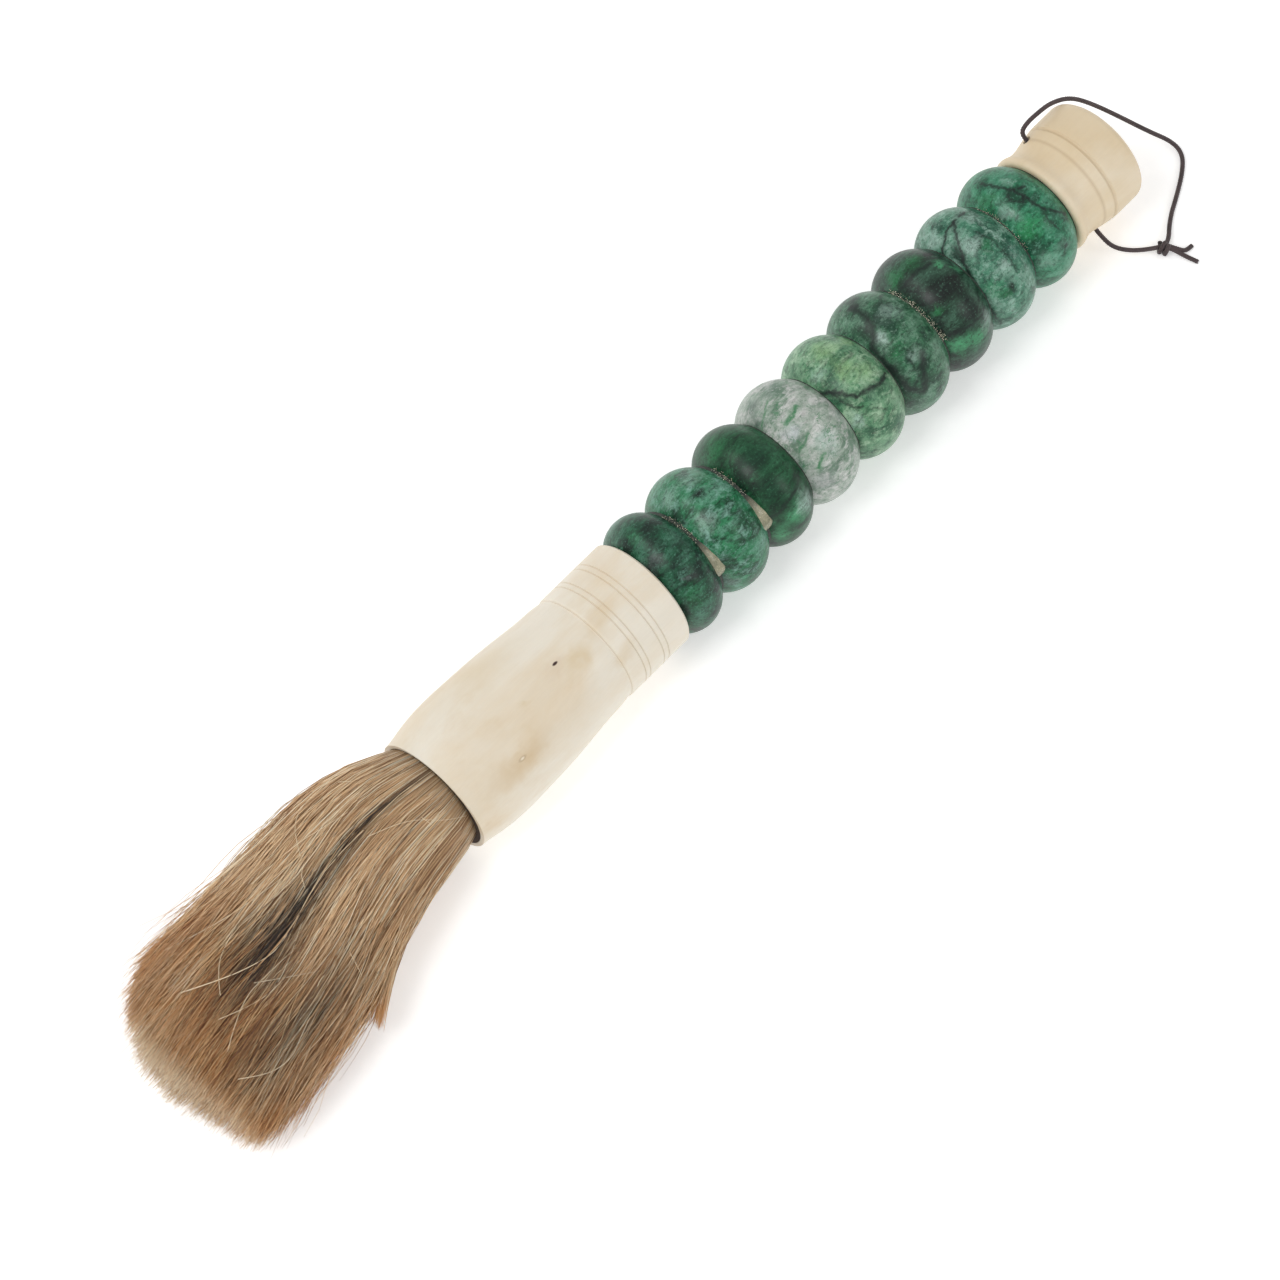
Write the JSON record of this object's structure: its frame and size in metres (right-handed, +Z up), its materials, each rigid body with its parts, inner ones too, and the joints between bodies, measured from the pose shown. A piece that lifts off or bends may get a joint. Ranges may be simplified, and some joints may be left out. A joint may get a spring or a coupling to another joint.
{
  "type": "calligraphy brush",
  "caption": "Large hand brush for calligraphy with a bone ferrule, a handle of round stone beads, a bone end cap and a hanging cord; it writes and is hung up by its loop.",
  "frame": {"origin": "on the table under the middle of the brush's length and width (cord left out), with the brush lying on it", "axes": "+X along the brush from the hair to the hanging end, +Z up from the table, +Y to the left of +X"},
  "size_m": [0.3617, 0.0576, 0.034],
  "materials": {
    "ferrule_bone": "satin",
    "cap_bone": "satin",
    "cover_hair": "satin",
    "core_hair": "satin",
    "root_hair": "matte",
    "binding_thread": "matte",
    "root_resin": "gloss",
    "plug_wood": "matte",
    "rod_wood": "matte",
    "seam_cement": "satin",
    "cord_thread": "matte",
    "bead_1_stone": "polished",
    "bead_2_stone": "polished",
    "bead_3_stone": "polished",
    "bead_4_stone": "polished",
    "bead_5_stone": "polished",
    "bead_6_stone": "polished",
    "bead_7_stone": "polished",
    "bead_8_stone": "polished",
    "bead_9_stone": "polished"
  },
  "bodies": {
    "handle": {"ferrule": "ferrule_bone", "hair_root": "root_hair", "root_binding": "binding_thread", "root_resin": "root_resin", "ferrule_plug": "plug_wood", "core_rod": "rod_wood", "bead_1": "bead_1_stone", "bead_2": "bead_2_stone", "bead_3": "bead_3_stone", "bead_4": "bead_4_stone", "bead_5": "bead_5_stone", "bead_6": "bead_6_stone", "bead_7": "bead_7_stone", "bead_8": "bead_8_stone", "bead_9": "bead_9_stone", "cement_1": "seam_cement", "cement_2": "seam_cement", "cement_3": "seam_cement", "cement_4": "seam_cement", "cement_5": "seam_cement", "cement_6": "seam_cement", "cement_7": "seam_cement", "cement_8": "seam_cement", "cement_9": "seam_cement", "cement_10": "seam_cement", "end_cap": "cap_bone", "cap_plug": "plug_wood", "cap_end_disc": "cap_bone"},
    "tuft": {"cover_hair": "cover_hair", "core_hair": "core_hair"},
    "cord_loop": {"hanging_cord": "cord_thread", "cord_knot": "cord_thread"}
  },
  "joints": [
    {"name": "hair_flex", "type": "hinge", "parent": "handle", "child": "tuft", "pos_m": [-0.07365, 0.0051, 0.017], "axis": [0, 1, 0], "range_deg": [-30, 30], "stiffness_Nm_per_rad": 0.12, "deforming": ["cover_hair", "core_hair"]},
    {"name": "cord_loop_swing", "type": "hinge", "parent": "handle", "child": "cord_loop", "pos_m": [0.15505, 0.0051, 0.017], "axis": [0, 0.8387, 0.5446], "range_deg": [-120, 110]}
  ]
}
